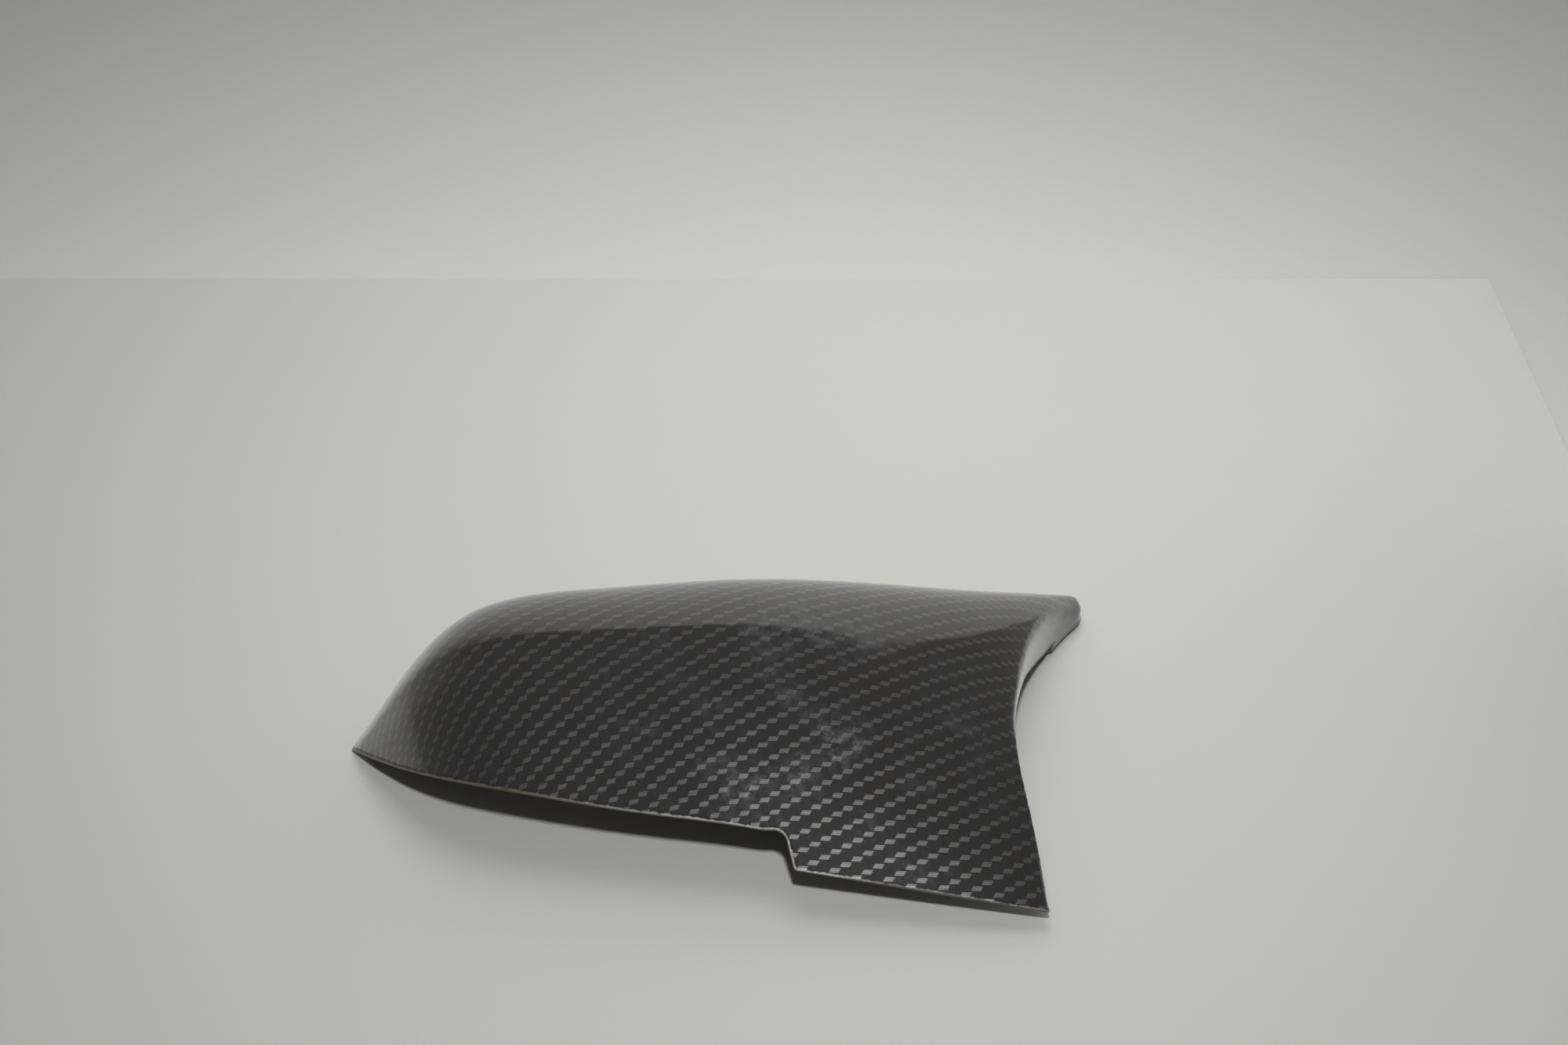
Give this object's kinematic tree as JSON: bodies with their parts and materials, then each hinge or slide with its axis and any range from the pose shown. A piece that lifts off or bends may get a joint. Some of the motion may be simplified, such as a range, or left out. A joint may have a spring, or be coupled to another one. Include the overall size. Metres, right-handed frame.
{
  "type": "wing mirror cover",
  "caption": "Thin moulded cap with a rounded crown, stepped lower edge, concave inboard edge and pointed horn; snaps over the front of a car door mirror housing to cover it.",
  "frame": {"origin": "bottom centre of the bounding box, on the plane of the top rim that the cover lies on", "axes": "+X from the outboard tip to the inboard horn, +Y towards the top of the mirror, +Z out of the glass plane, towards the front of the car"},
  "size_m": [0.2406, 0.148, 0.058],
  "materials": {
    "carbon_look_shell": "dark twill pattern under a gloss clear coat, with worn edges"
  },
  "bodies": {
    "root": {"mirror_cover": "carbon_look_shell"}
  },
  "joints": []
}
